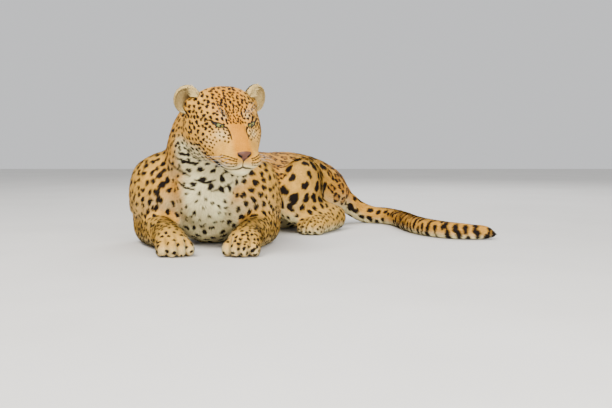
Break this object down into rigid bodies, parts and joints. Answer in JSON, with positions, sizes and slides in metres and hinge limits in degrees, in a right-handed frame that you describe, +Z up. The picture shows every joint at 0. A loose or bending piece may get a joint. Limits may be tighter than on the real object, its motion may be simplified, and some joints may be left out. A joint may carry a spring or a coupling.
{
  "type": "leopard museum model",
  "caption": "Life-size still model of an adult male leopard lying with head raised and turned, forelegs out in front and tail laid along the floor.",
  "frame": {"origin": "middle of the bounding box's base, on the floor the animal lies on", "axes": "+X the animal's left (at the shoulders), +Y towards its rear, +Z up"},
  "size_m": [1.033, 1.0544, 0.425],
  "materials": {
    "belly": "short fur",
    "chest": "short fur",
    "ear_left": "short fur",
    "ear_right": "short fur",
    "eye_left": "glossy eye",
    "eye_right": "glossy eye",
    "forearm_left": "short fur",
    "forearm_right": "short fur",
    "forepaw_left": "short fur",
    "forepaw_right": "short fur",
    "head": "short fur",
    "hind_foot_left": "short fur",
    "hind_foot_right": "short fur",
    "neck": "short fur",
    "rump": "short fur",
    "shank_left": "short fur",
    "shank_right": "short fur",
    "tail_root": "short fur",
    "tail_second": "short fur",
    "tail_third": "short fur",
    "tail_tip": "short fur",
    "thigh_left": "short fur",
    "thigh_right": "short fur",
    "upper_foreleg_left": "short fur",
    "upper_foreleg_right": "short fur"
  },
  "bodies": {
    "root": {"belly": "belly", "chest": "chest", "ear_left": "ear_left", "ear_right": "ear_right", "eye_left": "eye_left", "eye_right": "eye_right", "forearm_left": "forearm_left", "forearm_right": "forearm_right", "forepaw_left": "forepaw_left", "forepaw_right": "forepaw_right", "head": "head", "hind_foot_left": "hind_foot_left", "hind_foot_right": "hind_foot_right", "neck": "neck", "rump": "rump", "shank_left": "shank_left", "shank_right": "shank_right", "tail_root": "tail_root", "tail_second": "tail_second", "tail_third": "tail_third", "tail_tip": "tail_tip", "thigh_left": "thigh_left", "thigh_right": "thigh_right", "upper_foreleg_left": "upper_foreleg_left", "upper_foreleg_right": "upper_foreleg_right"}
  },
  "joints": []
}
